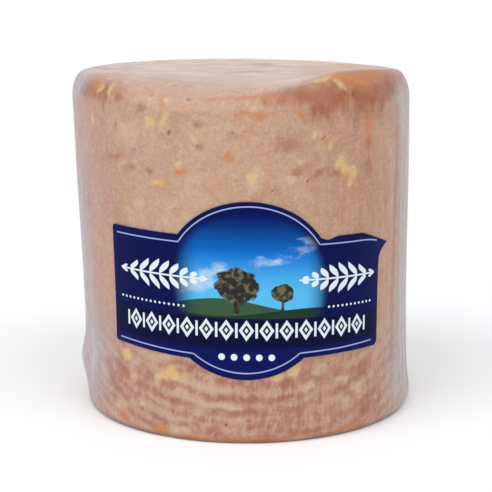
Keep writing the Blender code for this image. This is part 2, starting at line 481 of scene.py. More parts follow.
class Field:
    """A number that varies over a surface, held by a node's output, for formulas that are plainly written."""

    def __init__(self, tree: bpy.types.NodeTree, socket: Socket) -> None:
        """Keeps the tree and the output socket."""
        self.tree = tree
        self.socket = socket

    def _math(self, operation: str, *values: "Field | float") -> "Field":
        """A Math node of that operation on the values, in order."""
        node = self.tree.nodes.new("ShaderNodeMath")
        node.operation = operation
        for socket, value in zip(node.inputs, values):
            if isinstance(value, Field):
                self.tree.links.new(value.socket, socket)
            else:
                socket.default_value = value
        return Field(self.tree, node.outputs[0])

    def __add__(self, other: "Field | float") -> "Field":
        """The sum."""
        return self._math("ADD", self, other)

    def __sub__(self, other: "Field | float") -> "Field":
        """The difference."""
        return self._math("SUBTRACT", self, other)

    def __rsub__(self, other: float) -> "Field":
        """The number less this field."""
        return self._math("SUBTRACT", other, self)

    def __mul__(self, other: "Field | float") -> "Field":
        """The product."""
        return self._math("MULTIPLY", self, other)

    def __truediv__(self, other: "Field | float") -> "Field":
        """The quotient."""
        return self._math("DIVIDE", self, other)

    def __abs__(self) -> "Field":
        """The size without its sign."""
        return self._math("ABSOLUTE", self)

    def root(self) -> "Field":
        """The square root, of 0 where the field is below it."""
        positive = self.at_least(0)
        return positive._math("SQRT", positive)

    def sine(self) -> "Field":
        """The sine."""
        return self._math("SINE", self)

    def cosine(self) -> "Field":
        """The cosine."""
        return self._math("COSINE", self)

    def fraction(self) -> "Field":
        """What is left of the field after its whole number."""
        return self._math("FRACT", self)

    def bell(self, middle: float, reach: float) -> "Field":
        """A smooth bump: e to the minus square of the distance from the middle in reaches."""
        away = (self - middle) / reach
        return self._math("EXPONENT", away * away * -1)

    def at_least(self, other: "Field | float") -> "Field":
        """The greater of the two."""
        return self._math("MAXIMUM", self, other)

    def at_most(self, other: "Field | float") -> "Field":
        """The lesser of the two."""
        return self._math("MINIMUM", self, other)

    def ramp(self, start: float, end: float) -> "Field":
        """A smooth step: 0 at the start, 1 at the end, which may lie below the start, and level past them."""
        node = self.tree.nodes.new("ShaderNodeMapRange")
        node.interpolation_type = "SMOOTHSTEP"
        node.inputs["From Min"].default_value = start
        node.inputs["From Max"].default_value = end
        self.tree.links.new(self.socket, node.inputs["Value"])
        return Field(self.tree, node.outputs["Result"])

    def below(self, limit: float, soft: float) -> "Field":
        """1 where the field is under the limit and 0 over it, with a soft step between."""
        return self.ramp(limit + soft, limit - soft)

    def within(self, low: float, high: float, soft: float) -> "Field":
        """1 where the field is from low to high and 0 outside, with soft steps."""
        return abs(self - (low + high) / 2).below((high - low) / 2, soft)


Axes = tuple[Field, Field, Field]


class Finish:
    """A material under construction: a cleared node tree and short calls for the nodes it needs."""

    def __init__(self, name: str) -> None:
        """Makes the material with nothing in it but its output."""
        self.material = bpy.data.materials.new(name)
        self.material.use_nodes = True
        self.tree = self.material.node_tree
        self.tree.nodes.clear()
        self.output = self.tree.nodes.new("ShaderNodeOutputMaterial")

    def node(self, kind: str, **inputs: object) -> bpy.types.Node:
        """Adds a node and fills its inputs, whose names are given with _ for a space.

        Args:
            kind: the node's type without its ShaderNode.
            **inputs: a Field or socket to link, or a plain value.

        Returns:
            The node.
        """
        node = self.tree.nodes.new("ShaderNode" + kind)
        for name, value in inputs.items():
            self.feed(node.inputs[name.replace("_", " ")], value)
        return node

    def feed(self, socket: Socket, value: object) -> None:
        """Links a Field or a socket to an input, or sets the input to a plain value or colour."""
        if isinstance(value, Field):
            value = value.socket
        if isinstance(value, Socket):
            self.tree.links.new(value, socket)
        elif isinstance(value, tuple) and socket.type == "RGBA":
            socket.default_value = (*value, 1)
        else:
            socket.default_value = value

    def field(self, socket: Socket) -> Field:
        """The socket as a Field."""
        return Field(self.tree, socket)

    def attribute(self, name: str) -> Field:
        """A number that the mesh holds for each vertex."""
        node = self.node("Attribute")
        node.attribute_name = name
        return self.field(node.outputs["Fac"])

    def place(self, stretch: Triple = (1, 1, 1)) -> Socket:
        """Object coordinates, each multiplied by its stretch."""
        vector = self.node("TexCoord").outputs["Object"]
        if stretch == (1, 1, 1):
            return vector
        return self.node("Mapping", Vector=vector, Scale=stretch).outputs["Vector"]

    def axes(self, vector: Socket) -> Axes:
        """A vector's three parts."""
        parts = self.node("SeparateXYZ", Vector=vector).outputs
        return self.field(parts[0]), self.field(parts[1]), self.field(parts[2])

    def noise(
        self,
        size: float,
        detail: float = 2,
        stretch: Triple = (1, 1, 1),
        rough: float = 0.5,
        twist: float = 0,
    ) -> Field:
        """Noise from 0 to 1 over the object, whose blots are about that many metres across."""
        node = self.node(
            "TexNoise",
            Vector=self.place(stretch),
            Scale=BLOT_PITCH / size,
            Detail=detail,
            Roughness=rough,
            Distortion=twist,
        )
        return self.field(node.outputs["Fac"])

    def mix(self, share: Field | float, under: object, over: object) -> Socket:
        """The colour over laid on the colour under by a share."""
        node = self.tree.nodes.new("ShaderNodeMix")
        node.data_type = "RGBA"
        colours = [socket for socket in node.inputs if socket.type == "RGBA"]
        self.feed(node.inputs["Factor"], share)
        self.feed(colours[0], under)
        self.feed(colours[1], over)
        return next(socket for socket in node.outputs if socket.type == "RGBA")

    def blend(self, share: Field, under: bpy.types.Node, over: bpy.types.Node) -> bpy.types.Node:
        """The shader over laid on the shader under by a share."""
        node = self.node("MixShader", Fac=share)
        self.tree.links.new(under.outputs[0], node.inputs[1])
        self.tree.links.new(over.outputs[0], node.inputs[2])
        return node

    def bump(self, height: Field, metres: float) -> Socket:
        """A normal for relief of that height."""
        return self.node("Bump", Height=height, Strength=1.0, Distance=metres).outputs["Normal"]

    def show(self, shader: bpy.types.Node) -> bpy.types.Material:
        """Sends a shader to the output and returns the material."""
        self.tree.links.new(shader.outputs[0], self.output.inputs["Surface"])
        return self.material


@dataclass(frozen=True)
class Blots:
    """Noise through the object: the size of its blots in metres, its detail, roughness, twist and stretch."""

    size: float
    detail: float = 2
    rough: float = 0.5
    twist: float = 0
    stretch: Triple = (1, 1, 1)

    def on(self, make: Finish) -> Field:
        """The noise, from 0 to 1."""
        return make.noise(self.size, self.detail, self.stretch, self.rough, self.twist)

    def around(self, make: Finish) -> Field:
        """The noise less a half, so that it strays to both sides of 0."""
        return self.on(make) - 0.5


@dataclass(frozen=True)
class Mottle:
    """A layer of mottling: blots stepped from a start to an end, times a strength."""

    blots: Blots
    start: float
    end: float
    strength: float = 1

    def on(self, make: Finish) -> Field:
        """How much of the layer's colour shows."""
        return self.blots.on(make).ramp(self.start, self.end) * self.strength


@dataclass(frozen=True)
class Zone:
    """A part of the ham with soft borders: a step between two values along each axis that it names."""

    x: Span | None = None
    y: Span | None = None
    z: Span | None = None

    def on(self, place: Axes) -> Field:
        """How far a place is inside, from 0 to 1: the product of the steps."""
        steps = [part.ramp(*span) for part, span in zip(place, (self.x, self.y, self.z)) if span]
        share = steps[0]
        for step in steps[1:]:
            share = share * step
        return share


NEAR_LEFT = Zone(x=(0.030, -0.020), y=(-0.005, -0.065))
NEAR_RIGHT = Zone(x=(0.018, 0.050), y=(0.060, 0.015))
SPECKLE = Blots(0.0017, detail=5, rough=0.72)
GRAIN = Blots(0.0007)
FLOW = Blots(0.0046, detail=5, rough=0.6, twist=1.8, stretch=(0.32, 0.32, 1.0))


@dataclass(frozen=True)
class MuscleRows:
    """Rows of muscle low down: tilted layers plus blots, cut by pale slanting lines.

    A layer is a plane that rises towards the back, so that on the round wall its edge hangs like a bowl.
    """

    pitch: float = 0.0063
    start: float = 0.0016
    slope: float = 0.574
    top: float = 0.060
    full: float = 0.030
    fade_start: float = 0.036
    fade: float = 0.3
    sway: Blots = Blots(0.018)
    sway_reach: float = 0.008
    tremor: Blots = Blots(0.0045, detail=3)
    tremor_reach: float = 0.003
    blots: Blots = Blots(0.0078, detail=5, rough=0.60, twist=0.5, stretch=(1, 1, 1.25))
    blot_share: float = 2.2
    hairs: Blots = Blots(0.0011, detail=3, rough=0.6, stretch=(1, 1, 0.16))
    hair_share: float = 1.1
    band_share: float = 0.15
    left_band_share: float = 0.08
    left: Zone = Zone(x=(0.03, -0.02))
    line_pitch: float = 0.0046
    line_slant: float = 0.45
    line_sway: float = 1.6
    line_half: float = 0.10
    line_soft: float = 0.08
    line_share: float = 0.26
    line_gaps: Mottle = Mottle(Blots(0.009), 0.4, 0.55)
    middle: float = 0.004
    middle_reach: float = 0.022
    middle_share: float = 0.10

    def on(self, make: Finish, block: Block, place: Axes) -> Field:
        """Adds up the bands, the blots and the lines: the bands are a cosine of the height over the layers.

        Args:
            make: the material under construction.
            block: the block, whose front the layers' heights are counted from.
            place: x, y and z in metres.

        Returns:
            How much muscle shows: nothing at 0 or below, the darkest near a half.
        """
        x, y, z = place
        sway = self.sway.around(make) * self.sway_reach + self.tremor.around(make) * self.tremor_reach
        level = z - (y + block.radius) * self.slope + sway
        band = ((level - self.start) * (2 * math.pi / self.pitch)).cosine()
        slanting = ((x - level * self.line_slant + sway * self.line_sway) / self.line_pitch).fraction()
        lines = abs(slanting - 0.5).below(self.line_half, self.line_soft) * self.line_gaps.on(make)
        raw = self.blots.around(make) * self.blot_share - self.hairs.around(make) * self.hair_share
        raw = raw + band * (self.left.on(place) * self.left_band_share + self.band_share)
        raw = raw - lines * self.line_share + x.bell(self.middle, self.middle_reach) * self.middle_share
        return raw * z.ramp(self.top, self.full) - z.ramp(self.fade_start, self.top) * self.fade


@dataclass(frozen=True)
class MeatFinish:
    """Pressed smoked ham: beige pink, mottled, with rows of rosy muscle low down, fat, stains and pores,
    painted shade low down and along the foot, and a painted reflection on the top.
    """

    sand: Colour = lit(210, 170, 138)
    blush: Colour = lit(206, 162, 142)
    tan: Colour = lit(206, 152, 110)
    rose: Colour = lit(188, 132, 112)
    bark: Colour = lit(172, 120, 82)
    muscle: Colour = lit(178, 110, 96)
    core: Colour = lit(158, 84, 70)
    cream: Colour = lit(226, 200, 166)
    pale: Colour = lit(214, 180, 156)
    butter: Colour = lit(226, 192, 138)
    fat: Colour = lit(236, 202, 120)
    honey: Colour = lit(216, 142, 62)
    rust: Colour = lit(212, 128, 64)
    red: Colour = lit(172, 98, 70)
    stain: Colour = lit(172, 95, 44)
    pore: Colour = lit(134, 80, 62)
    # painted shade: the dark brown along the base's edge
    foot: Colour = lit(160, 98, 62)
    rows: MuscleRows = MuscleRows()
    broad: Mottle = Mottle(Blots(0.028, detail=3, twist=0.8), 0.38, 0.62)
    clouds: Mottle = Mottle(Blots(0.010, detail=4, twist=0.6, stretch=(1, 1, 1.6)), 0.48, 0.70, 0.55)
    rosy: Mottle = Mottle(Blots(0.0065, detail=4, twist=1.2), 0.50, 0.74, 0.5)
    # rose low down, darker towards the bottom: partly the meat's rosier tone, partly painted shade
    low: Zone = Zone(z=(0.085, 0.03))
    right_side: Zone = Zone(x=(0.005, 0.055), y=(0.02, -0.02))
    right_height: Zone = Zone(z=(0.03, 0.11))
    left_side: Zone = Zone(x=(-0.040, -0.070))
    low_right: Zone = Zone(x=(0.060, 0.078), z=(0.07, 0.04))
    faint_side: Zone = Zone(x=(-0.015, -0.060))
    faint_share: float = 0.35
    muscle_share: float = 0.70
    core_share: float = 0.48
    pale_share: float = 0.55
    fibres: Mottle = Mottle(Blots(0.0014, detail=4, rough=0.6, stretch=(1, 1, 0.08)), 0.40, 0.64)
    patches: Mottle = Mottle(Blots(0.006, detail=3, stretch=(1, 1, 0.4)), 0.42, 0.62, 0.4)
    veils: Mottle = Mottle(Blots(0.0048, 5, 0.6, twist=1.0, stretch=(1, 1, 0.8)), 0.52, 0.74, 0.45)
    swirls: Blots = Blots(0.0052, detail=4, rough=0.55, twist=4.0, stretch=(0.8, 0.8, 1.8))
    swirl_zone: Zone = Zone(x=(-0.03, 0.02))
    flow_zone: Zone = Zone(x=(-0.04, 0.02), y=(0.0, -0.03))
    dark_flow: Mottle = Mottle(FLOW, 0.52, 0.66, 0.42)
    pale_flow: Mottle = Mottle(FLOW, 0.46, 0.34, 0.30)
    dark_speckle: Mottle = Mottle(SPECKLE, 0.50, 0.72, 0.44)
    pale_speckle: Mottle = Mottle(SPECKLE, 0.49, 0.30, 0.36)
    dark_grain: Mottle = Mottle(GRAIN, 0.45, 0.72, 0.34)
    pale_grain: Mottle = Mottle(GRAIN, 0.52, 0.28, 0.28)
    top_stains: Mottle = Mottle(Blots(0.016, detail=4, stretch=(1, 0.5, 1)), 0.46, 0.66)
    top_right: Zone = Zone(x=(0.0, 0.045))
    fine_fray: Blots = Blots(0.0017, detail=4, rough=0.6, stretch=(1, 1, 0.8))
    soft_fray: Blots = Blots(0.0032, detail=5, rough=0.62)
    fibre_fray: Blots = Blots(0.0022, detail=5, rough=0.65, twist=0.8, stretch=(1, 1, 0.4))
    crumbs: Mottle = Mottle(Blots(0.0022, detail=3), 0.46, 0.62)
    # painted shade along the foot, mottled by blots
    foot_shade_zone: Zone = Zone(z=(0.0034, 0.0008))
    foot_shade_blots: Mottle = Mottle(Blots(0.012), 0.25, 0.6, 0.8)
    relief: float = 0.0003
    gloss: float = 0.2

    def material(self, block: Block) -> bpy.types.Material:
        """Builds the material.

        Args:
            block: the block, for the radius that the rows start from.

        Returns:
            The material.
        """
        make = Finish("ham_meat_finish")
        place = make.axes(make.place())
        rows = self.rows.on(make, block, place)
        colour = self._muscle(make, place, rows, self._ground(make, place))
        colour = self._marks(make, colour)
        # painted shade along the foot
        foot = self.foot_shade_zone.on(place) * self.foot_shade_blots.on(make)
        colour = make.mix(foot, colour, self.foot)
        pits = make.attribute(Tone.PORE.value).ramp(0.4, 0.8)
        height = make.noise(0.0035, detail=4) * 0.6 + rows * 0.3 - pits * 0.5
        shader = make.node(
            "BsdfPrincipled",
            Base_Color=colour,
            Roughness=make.noise(0.006).ramp(0.2, 0.8) * 0.2 + 0.45,
            Normal=make.bump(height, self.relief),
        )
        shader.inputs["Specular IOR Level"].default_value = self.gloss
        return make.show(shader)

    def _ground(self, make: Finish, place: Axes) -> Socket:
        """The mottled ground: sand and blush, each layer of blots in turn, rose low down that is partly the
        meat's tone and partly painted shade, fibrous sides and the top, painted pale.

        Args:
            make: the material under construction.
            place: x, y and z in metres.

        Returns:
            The colour.
        """
        colour = make.mix(self.broad.on(make), self.sand, self.blush)
        colour = make.mix(self.clouds.on(make), colour, self.tan)
        # rose low down: partly the meat's rosier tone, partly painted shade
        rosy = self.low.on(place) * 0.25 + self.rosy.on(make)
        colour = make.mix(rosy.at_most(0.9), colour, self.rose)
        colour = self._sides(make, place, colour)
        veils = self.veils.on(make)
        colour = make.mix(veils, colour, self.cream)
        swirls = self.swirls.on(make).within(0.49, 0.53, 0.03) * self.swirl_zone.on(place)
        colour = make.mix(swirls * 0.32, colour, self.rust)
        flowing = self.flow_zone.on(place)
        colour = make.mix(self.dark_flow.on(make) * flowing, colour, self.rose)
        colour = make.mix(self.pale_flow.on(make) * flowing, colour, self.sand)
        colour = make.mix(self.low_right.on(place) * 0.4, colour, self.cream)
        for layer, over in (
            (self.dark_speckle, self.rose),
            (self.pale_speckle, self.cream),
            (self.dark_grain, self.rose),
            (self.pale_grain, self.cream),
        ):
            colour = make.mix(layer.on(make), colour, over)
        return self._top_reflection_and_stains(make, place, veils, colour)

    def _sides(self, make: Finish, place: Axes, colour: Socket) -> Socket:
        """Upright fibres: tan and bark on the right, the more the higher up, and rose on the left.

        Args:
            make: the material under construction.
            place: x, y and z in metres.
            colour: the colour under them.

        Returns:
            The colour with them.
        """
        right = self.right_side.on(place)
        fibres = self.fibres.on(make)
        bark = fibres * 0.36 + self.right_height.on(place) * 0.14 + 0.08
        colour = make.mix(right * self.patches.on(make), colour, self.tan)
        colour = make.mix(right * bark, colour, self.bark)
        return make.mix(self.left_side.on(place) * (fibres * 0.25 + 0.44), colour, self.rose)

    def _top_reflection_and_stains(self, make: Finish, place: Axes, veils: Field, colour: Socket) -> Socket:
        """The top: painted pale for the reflection and the light from above on its film, mottled by the cream
        veils and less near the front's two corners, with rusty stains, most at the right.

        Args:
            make: the material under construction.
            place: x, y and z in metres.
            veils: the pale veils.
            colour: the colour under them.

        Returns:
            The colour with the top's.
        """
        top = make.attribute(Part.TOP.value)
        near_right = NEAR_RIGHT.on(place)
        # painted reflection and light from above: cream laid over the top, less near the front's two corners
        pale = top * (1 - NEAR_LEFT.on(place) * 0.62) * (1 - near_right * 0.8)
        colour = make.mix(pale * (veils + 0.40), colour, self.cream)
        warm = self.top_stains.on(make) * (self.top_right.on(place) * 0.5 + 0.2) + near_right * 0.45
        return make.mix(top * warm, colour, self.rust)

    def _muscle(self, make: Finish, place: Axes, rows: Field, colour: Socket) -> Socket:
        """Lays the rows on, fainter on the left: muscle, its darker core, and a paler tone between the rows.

        Args:
            make: the material under construction.
            place: x, y and z in metres.
            rows: how much muscle shows.
            colour: the colour under the rows.

        Returns:
            The colour with them.
        """
        faint = 1 - self.faint_side.on(place) * self.faint_share
        colour = make.mix(rows.ramp(-0.08, 0.36) * faint * self.muscle_share, colour, self.muscle)
        colour = make.mix(rows.ramp(0.20, 0.62) * faint * self.core_share, colour, self.core)
        between = rows.ramp(-0.06, -0.44) * place[2].ramp(self.rows.top, self.rows.full)
        return make.mix(between * self.pale_share, colour, self.pale)

    def _marks(self, make: Finish, colour: Socket) -> Socket:
        """Lays the marks on: each tone's nearness, frayed by noise, is stepped over at its edge.

        Args:
            make: the material under construction.
            colour: the colour under the marks.

        Returns:
            The colour with them.
        """
        fine = self.fine_fray.around(make) * 2.0
        soft = self.soft_fray.around(make) * 2.2
        fibrous = self.fibre_fray.around(make) * 1.3
        crumbs = self.crumbs.on(make)
        layers = (
            (Tone.STAIN, soft * 0.3 + fibrous, 0.00, 1.00, 0.96, self.stain),
            (Tone.RUST, soft * 0.6, 0.05, 1.00, 0.84, self.rust),
            (Tone.RED, soft * 0.7, 0.05, 1.05, 0.70, self.red),
            (Tone.CREAM, soft, 0.05, 1.00, 0.52, self.cream),
            (Tone.FAT, soft, 0.00, 0.80, 0.62, self.butter),
            (Tone.FAT, fine + crumbs * 0.35 - 0.15, 0.10, 1.15, 0.84, self.fat),
            (Tone.FAT, fine + crumbs * 0.3 - 0.3, 0.45, 1.15, 0.50, self.honey),
            (Tone.ORANGE, fine, 0.20, 0.85, 0.85, self.honey),
            (Tone.PORE, fine * 0.1, 0.35, 0.80, 0.80, self.pore),
        )
        for tone, fray, start, end, strength, over in layers:
            near = make.attribute(tone.value)
            share = (near + fray * near.ramp(0.0, 0.4)).ramp(start, end)
            colour = make.mix(share * strength, colour, over)
        return colour


@dataclass(frozen=True)
class FilmFinish:
    """Clear shrunk film: a faint gloss, and a diffuse milky layer that is partly the film's own milkiness and
    partly painted reflection: bluish at a low angle, whitish on the rim, and painted highlights in its
    pleats.
    """

    gloss: Colour = (0.93, 0.96, 1.0)
    # colour of the film's milkiness, also used as painted reflection at the edges and painted highlight in
    # the pleats
    milk_and_reflection: Colour = srgb(192, 195, 201)
    # painted reflection and painted light from above on the up-facing rim
    rim_reflection_colour: Colour = srgb(240, 226, 220)
    refraction: float = 1.33
    roughness: float = 0.22
    most_gloss: float = 0.10
    relief: float = 0.0005
    lines: Blots = Blots(0.0016, stretch=(1, 1, 0.035))
    waves: Blots = Blots(0.012)
    streaks: Mottle = Mottle(Blots(0.0030, detail=3, stretch=(1, 1, 0.05)), 0.40, 0.75)
    clouds: Mottle = Mottle(Blots(0.008, detail=3), 0.3, 0.7, 0.4)
    # where painted highlight streaks, with some milkiness, run down the sides
    sides: Zone = Zone(y=(-0.050, -0.010))
    inside_left: Zone = Zone(x=(-0.078, -0.050))
    edge_start: float = 0.64
    edge_end: float = 0.98
    # how much painted reflection of the bright surroundings, with the film's milkiness, the edges show at a
    # low angle
    edge_haze_and_reflection: float = 0.30
    # share of the painted reflection and light from above on the rim
    rim_reflection: float = 0.38
    # share of milkiness and painted highlight in the pleats
    pleat_haze_and_highlight: float = 0.50
    left_clearing: float = 0.6
    right_clearing: float = 0.82
    # the clearings thin the painted rim reflection near the front's corners and where the top is seen from
    # above
    top_clearing: float = 0.6
    least_haze: float = 0.02
    most_haze: float = 0.75

    def material(self) -> bpy.types.Material:
        """Builds the material: clear, mixed with a diffuse milky shader by the share of milkiness, painted
        reflection and painted highlight, under a faint and wavy gloss.
        """
        make = Finish("clear_film_finish")
        relief = self.lines.on(make) * 0.25 + self.waves.on(make)
        normal = make.bump(relief, self.relief)
        clear = make.node("BsdfTransparent")
        rim = make.attribute(Part.RIM.value)
        milk_and_reflection = make.node("BsdfDiffuse", Color=make.mix(rim, self.milk_and_reflection, self.rim_reflection_colour))
        body = make.blend(self._haze_and_reflection(make, rim), clear, milk_and_reflection)
        shine = make.node("BsdfGlossy", Color=self.gloss, Roughness=self.roughness, Normal=normal)
        sheen = make.field(make.node("Fresnel", IOR=self.refraction, Normal=normal).outputs[0])
        return make.show(make.blend(sheen.at_most(self.most_gloss), body, shine))

    def _haze_and_reflection(self, make: Finish, rim: Field) -> Field:
        """How milky the film looks: the greater of its edge's and rim's share, plus its pleats' and its
        sides'.

        The edge's grows with the angle of sight, partly the film's milkiness and partly a painted reflection
        of the bright surroundings. The rim's is a painted reflection and painted light from above on the
        up-facing
        film: cloudy, thinner near the front's two corners, and clearing where the flat top is seen from
        above.
        The pleats' and the sides' run in upright streaks, partly milky film and partly painted highlights.

        Args:
            make: the material under construction.
            rim: how far the film faces up.

        Returns:
            The share of the milky shader, with its painted reflection and highlights.
        """
        place = make.axes(make.place())
        low_angle = make.field(make.node("LayerWeight", Blend=0.5).outputs["Facing"])
        # painted reflection at the edges, growing at a low angle, with the film's own milkiness
        edge = low_angle.ramp(self.edge_start, self.edge_end) * self.edge_haze_and_reflection
        edge = edge * (self.inside_left.on(place) * 0.35 + 0.65)
        # painted reflection and painted light from above on the up-facing film, cloudy
        over = rim * (self.clouds.on(make) + 0.8) * self.rim_reflection
        near_left = NEAR_LEFT.on(place) * self.left_clearing
        near_right = NEAR_RIGHT.on(place) * self.right_clearing
        # the painted rim reflection clears where the flat top is seen from above
        from_above = rim.ramp(0.85, 1.0) * low_angle.ramp(0.7, 0.3) * self.top_clearing
        over = over * (1 - near_left) * (1 - near_right) * (1 - from_above)
        streaks = self.streaks.on(make)
        # pleats: partly milky film standing off the meat, partly painted highlights in upright streaks
        pleats = make.attribute(Tone.HAZE_AND_HIGHLIGHT.value).ramp(0.0, 0.9) * (streaks * 0.6 + 0.5) * self.pleat_haze_and_highlight
        # sides: painted highlight streaks, partly milky film
        aside = self.sides.on(place) * (1 - rim) * (streaks * 0.20 + 0.04)
        return (edge.at_least(over) + pleats + aside + self.least_haze).at_most(self.most_haze)


@dataclass(frozen=True)
class Round:
    """A circle on the label, in millimetres."""

    x: float
    y: float
    radius: float = 1

    def out(self, x: Field, y: Field) -> Field:
        """How far a place is from the circle's middle: the root of the sum of the two squares."""
        across = x - self.x
        rise = y - self.y
        return (across * across + rise * rise).root()

    def line(self, x: Field, y: Field, half: float, soft: float) -> Field:
        """1 on a line along the circle, where the distance from it is under half the line's width."""
        return abs(self.out(x, y) - self.radius).below(half, soft)


@dataclass(frozen=True)
class Sprig:
    """Pairs of leaves that slant off a stem, whose reach swells and dwindles like half a sine along it.

    The stem runs from its root to its tip at one height, and the leaves lean towards the tip. Millimetres.
    """

    root: float
    tip: float
    middle: float = 8.0
    reach: float = 6.4
    least_reach: float = 0.6
    pitch: float = 5.2
    slant: float = 0.75
    fullness: float = 0.34
    stem_half: float = 0.4

    def on(self, x: Field, y: Field) -> Field:
        """1 on the sprig: a leaf lies where the distance from its axis is under a sine of the height."""
        slant = math.copysign(self.slant, self.tip - self.root)
        along = ((x - self.root) / (self.tip - self.root)).at_least(0).at_most(1)
        off = abs(y - self.middle)
        rise = off / ((along * math.pi).sine() * self.reach + self.least_reach)
        axis = abs(((x - off * slant) / self.pitch).fraction() - 0.5)
        leaf = ((rise * math.pi).sine() * self.fullness - axis).ramp(-0.02, 0.02) * rise.below(1, 0.02)
        ends = abs(x - (self.root + self.tip) / 2).below(abs(self.tip - self.root) / 2, 0.2)
        return leaf.at_least(off.below(self.stem_half, 0.1)) * ends


@dataclass(frozen=True)
class Lozenges:
    """A chain of hollow lozenges with a dot in and a bar between each two, in millimetres."""

    middle_x: float = 1.4
    middle_y: float = -14.7
    half_length: float = 59.2
    pitch: float = 9.0
    half_wide: float = 3.4
    half_tall: float = 4.8
    hollow: float = 0.56
    pip: float = 0.26
    bar_half: float = 0.55
    bar_half_tall: float = 3.4
    soft: float = 0.04

    def on(self, x: Field, y: Field) -> Field:
        """1 on the chain: in a lozenge, the offsets, each over its half size, add up to under 1."""
        cell = ((x - self.middle_x) / self.pitch + 0.5).fraction() - 0.5
        across = abs(cell) * self.pitch
        off = abs(y - self.middle_y)
        depth = across / self.half_wide + off / self.half_tall
        bar = (self.pitch / 2 - across).below(self.bar_half, 0.08) * off.below(self.bar_half_tall, 0.1)
        chain = depth.within(self.hollow, 1.0, self.soft).at_least(depth.below(self.pip, self.soft))
        return chain.at_least(bar) * abs(x - self.middle_x).below(self.half_length, 0.1)


@dataclass(frozen=True)
class DotRow:
    """A row of round dots a pitch apart, in millimetres."""

    start: float
    end: float
    up: float
    pitch: float = 2.4
    radius: float = 0.55

    def on(self, x: Field, y: Field) -> Field:
        """1 on a dot: where the distance from its cell's middle is under the radius."""
        aside = (((x - self.start) / self.pitch).fraction() - 0.5) * self.pitch
        dot = Round(0, self.up).out(aside, y).below(self.radius, 0.1)
        return dot * x.within(self.start, self.end, 0.05)


@dataclass(frozen=True)
class Tree:
    """A round tree: where it stands and its crown's middle height, in millimetres, and its relative size."""

    along: float
    up: float
    size: float
    half_wide: float = 10.5
    half_tall: float = 9.0

    def on(self, make: Finish, x: Field, y: Field) -> Field:
        """1 on the tree: an oval crown whose edge is frayed by noise, on a trunk that widens downwards."""
        fray = (make.noise(0.0028, detail=3) - 0.5) * 0.7
        aside = (x - self.along) / self.size
        over = (y - self.up) / self.size
        oval = Round(0, 0).out(aside / self.half_wide, over / self.half_tall)
        width = (over * -0.06 + 0.5).at_least(0.9)
        trunk = (abs(aside) / width).below(1, 0.1) * over.below(-3, 1)
        return (oval + fray).below(0.92, 0.05).at_least(trunk)


@dataclass(frozen=True)
class Hill:
    """A rolling hill on the label, in millimetres: its level, and the swing, pace and start of its sine."""

    level: float
    swing: float
    pace: float
    start: float

    def on(self, x: Field, y: Field) -> Field:
        """1 on the hill: what lies under its level plus a sine of the place along the label."""
        return (y - (x * self.pace + self.start).sine() * self.swing).below(self.level, 0.25)


